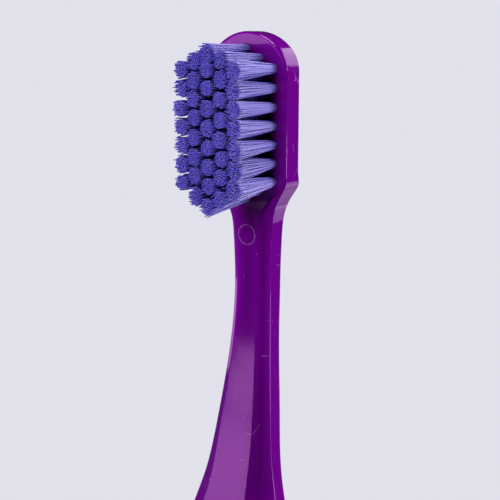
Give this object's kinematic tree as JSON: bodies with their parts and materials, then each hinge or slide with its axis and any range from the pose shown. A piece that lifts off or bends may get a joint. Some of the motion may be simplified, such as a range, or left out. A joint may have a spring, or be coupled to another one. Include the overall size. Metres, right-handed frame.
{
  "type": "toothbrush",
  "caption": "Manual toothbrush: moulded faceted handle, slim neck and an oval head with straight-trimmed bristle tufts.",
  "frame": {"origin": "centre of the flat butt end of the handle", "axes": "+Z along the handle from the butt to the head, +X across the brush, the bristles point towards -Y"},
  "size_m": [0.0164, 0.0135, 0.172],
  "materials": {
    "handle_plastic": "glossy",
    "filament": "satin",
    "anchor_metal": "satin"
  },
  "bodies": {
    "root": {"handle": "handle_plastic", "tuft_a1": "filament", "tuft_a2": "filament", "tuft_a3": "filament", "tuft_a4": "filament", "tuft_a5": "filament", "tuft_a6": "filament", "tuft_a7": "filament", "anchors_a": "anchor_metal", "tuft_b1": "filament", "tuft_b2": "filament", "tuft_b3": "filament", "tuft_b4": "filament", "tuft_b5": "filament", "tuft_b6": "filament", "tuft_b7": "filament", "tuft_b8": "filament", "anchors_b": "anchor_metal", "tuft_c1": "filament", "tuft_c2": "filament", "tuft_c3": "filament", "tuft_c4": "filament", "tuft_c5": "filament", "tuft_c6": "filament", "tuft_c7": "filament", "tuft_c8": "filament", "tuft_c9": "filament", "anchors_c": "anchor_metal", "tuft_d1": "filament", "tuft_d2": "filament", "tuft_d3": "filament", "tuft_d4": "filament", "tuft_d5": "filament", "tuft_d6": "filament", "tuft_d7": "filament", "tuft_d8": "filament", "anchors_d": "anchor_metal", "tuft_e1": "filament", "tuft_e2": "filament", "tuft_e3": "filament", "tuft_e4": "filament", "tuft_e5": "filament", "tuft_e6": "filament", "tuft_e7": "filament", "anchors_e": "anchor_metal"}
  },
  "joints": []
}
